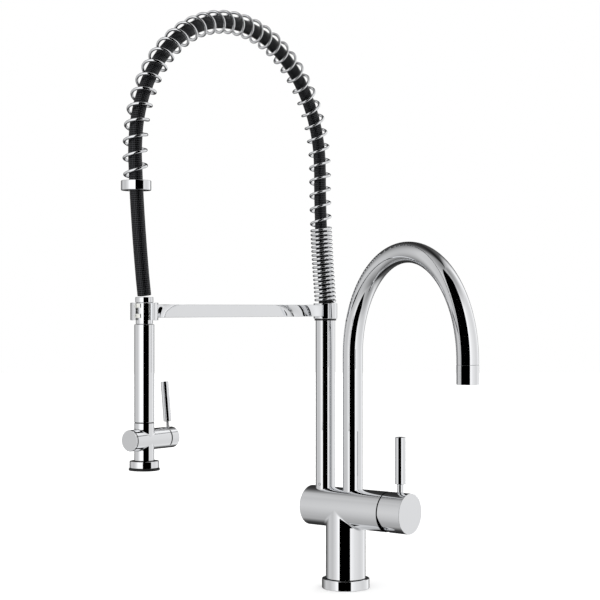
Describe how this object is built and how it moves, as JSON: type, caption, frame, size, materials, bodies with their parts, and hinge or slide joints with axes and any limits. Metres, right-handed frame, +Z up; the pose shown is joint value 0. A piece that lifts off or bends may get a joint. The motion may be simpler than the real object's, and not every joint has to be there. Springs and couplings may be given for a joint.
{
  "type": "kitchen faucet",
  "caption": "Single-lever kitchen faucet with a swivel gooseneck spout and a spring-guarded pull-down spray docked on a swinging arm.",
  "frame": {"origin": "centre of the underside of the base, on the deck", "axes": "+Z up, +X along the barrel to the mixer handle, -Y to the front over the sink"},
  "size_m": [0.2831, 0.3597, 0.6459],
  "materials": {
    "chrome": "polished chrome plate",
    "brass": "turned brass",
    "steel": "stainless steel",
    "spring_wire": "chrome-plated spring wire",
    "ceramic": "lapped ceramic",
    "plastic": "moulded plastic",
    "dark_plastic": "black moulded plastic",
    "rubber": "black rubber",
    "hose": "black braided hose"
  },
  "bodies": {
    "root": {"base_flange": "chrome", "deck_gasket": "rubber", "base_insert": "brass", "body_casting": "chrome", "barrel_end_plug": "chrome", "end_plug_seal": "rubber", "diverter_sleeve": "brass", "riser_nipple": "brass", "riser_nipple_seal": "rubber", "riser_tube": "chrome", "riser_set_screw": "steel", "riser_top_nipple": "dark_plastic", "arm_thrust_ring": "dark_plastic", "cartridge_seal": "rubber", "cartridge_body": "plastic", "ceramic_disc_fixed": "ceramic", "cartridge_nut": "brass", "cartridge_dome": "chrome", "spout_retaining_screw": "steel"},
    "diverter": {"diverter_piston": "dark_plastic"},
    "mixer_carrier": {"cartridge_carrier": "plastic", "stem_pivot_pin": "steel"},
    "moving_disc": {"ceramic_disc_moving": "ceramic"},
    "mixer_handle": {"cartridge_stem": "steel", "handle_cap": "chrome", "handle_set_screw": "steel", "mixer_lever": "chrome"},
    "gooseneck": {"gooseneck_tube": "chrome", "spout_swivel_washer": "plastic", "spout_nipple": "brass", "spout_oring_upper": "rubber", "spout_oring_lower": "rubber", "aerator_sleeve": "chrome", "aerator_insert": "plastic", "aerator_washer": "rubber"},
    "boom": {"holder_arm": "chrome", "collar_bush": "dark_plastic", "clip_liner": "plastic", "spring_guard": "spring_wire", "spray_hose": "hose"},
    "spray_head": {"spring_end_ring": "chrome", "hose_nut": "chrome", "spray_neck": "chrome", "spray_handle": "chrome", "check_valve": "dark_plastic", "spray_body": "chrome", "front_plug": "chrome", "valve_gland": "brass", "spray_collar": "chrome", "flow_plate": "dark_plastic", "spray_face": "rubber"},
    "spray_valve": {"valve_spindle": "brass", "valve_knob": "chrome", "spray_lever": "chrome"}
  },
  "joints": [
    {"name": "mixer_turn", "type": "hinge", "parent": "root", "child": "mixer_carrier", "pos_m": [0.056, 0, 0.0923], "axis": [1, 0, 0], "range_deg": [-45, 45]},
    {"name": "mixer_lift", "type": "hinge", "parent": "mixer_carrier", "child": "mixer_handle", "pos_m": [0.056, 0, 0.0923], "axis": [0, 1, 0], "range_deg": [0, 15]},
    {"name": "disc_slide", "type": "slide", "parent": "mixer_carrier", "child": "moving_disc", "axis": [0, 0, 1], "range_m": [0, 0.0045]},
    {"name": "spout_swivel", "type": "hinge", "parent": "root", "child": "gooseneck", "pos_m": [0.0101, 0, 0.1095], "axis": [0, 0, 1], "range_deg": [-50, 135]},
    {"name": "boom_swing", "type": "hinge", "parent": "root", "child": "boom", "pos_m": [-0.0295, 0, 0.3204], "axis": [0, 0, 1], "range_deg": [-90, 15]},
    {"name": "spray_pull", "type": "slide", "parent": "boom", "child": "spray_head", "axis": [0, 0, -1], "range_m": [0, 0.1], "stiffness_N_per_m": 60, "springref_m": -0.15, "deforming": ["spring_guard", "spray_hose"]},
    {"name": "spray_valve_turn", "type": "hinge", "parent": "spray_head", "child": "spray_valve", "pos_m": [-0.0295, -0.2687, 0.1905], "axis": [0, 1, 0], "range_deg": [0, 90]},
    {"name": "diverter_slide", "type": "slide", "parent": "root", "child": "diverter", "axis": [-1, 0, 0], "range_m": [0, 0.003]}
  ],
  "couplings": [
    {"joint": "disc_slide", "follows": "mixer_lift", "m_per_rad": 0.0168},
    {"joint": "diverter_slide", "follows": "spray_valve_turn", "m_per_rad": 0.0019}
  ]
}
